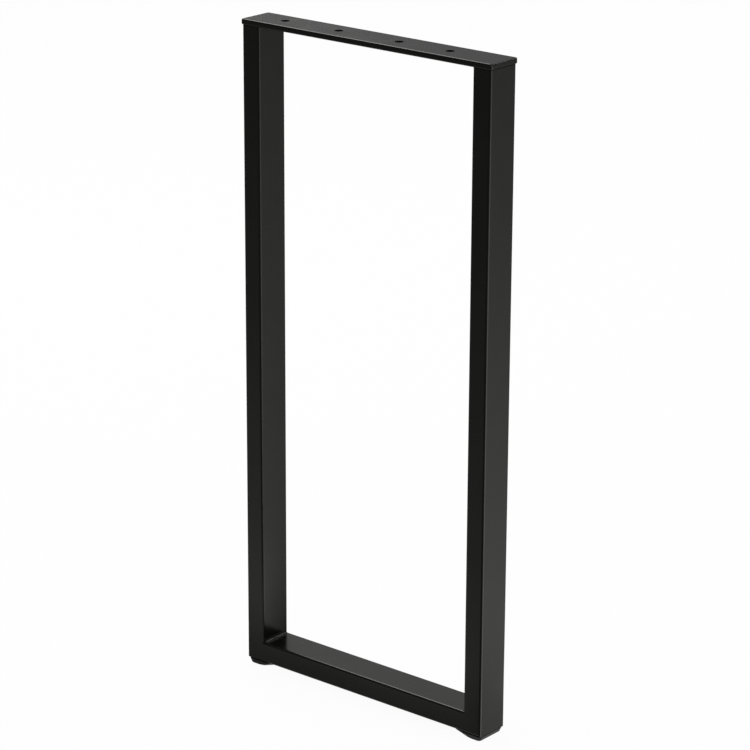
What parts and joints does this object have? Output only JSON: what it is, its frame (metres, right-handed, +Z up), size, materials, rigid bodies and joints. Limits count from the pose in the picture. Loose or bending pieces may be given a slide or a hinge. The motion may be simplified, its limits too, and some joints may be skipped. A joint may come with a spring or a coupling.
{
  "type": "frame table leg",
  "caption": "Flat rectangular frame leg of welded tube with a drilled plate across the top, screwed under a table top, on plug-in plastic feet.",
  "frame": {"origin": "on the floor, midway between the feet and midway through the depth of the frame", "axes": "+Z up to the screw plate, +X across the frame, +Y through its depth, with the front at -Y"},
  "size_m": [0.3224, 0.0424, 0.71],
  "materials": {
    "frame_coating": "satin black powder coat on steel",
    "foot_plastic": "matt black moulded plastic"
  },
  "bodies": {
    "root": {"top_plate": "frame_coating", "left_upright": "frame_coating", "right_upright": "frame_coating", "bottom_rail": "frame_coating", "top_left_weld": "frame_coating", "top_right_weld": "frame_coating", "bottom_left_weld": "frame_coating", "bottom_right_weld": "frame_coating", "left_foot": "foot_plastic", "right_foot": "foot_plastic"}
  },
  "joints": []
}
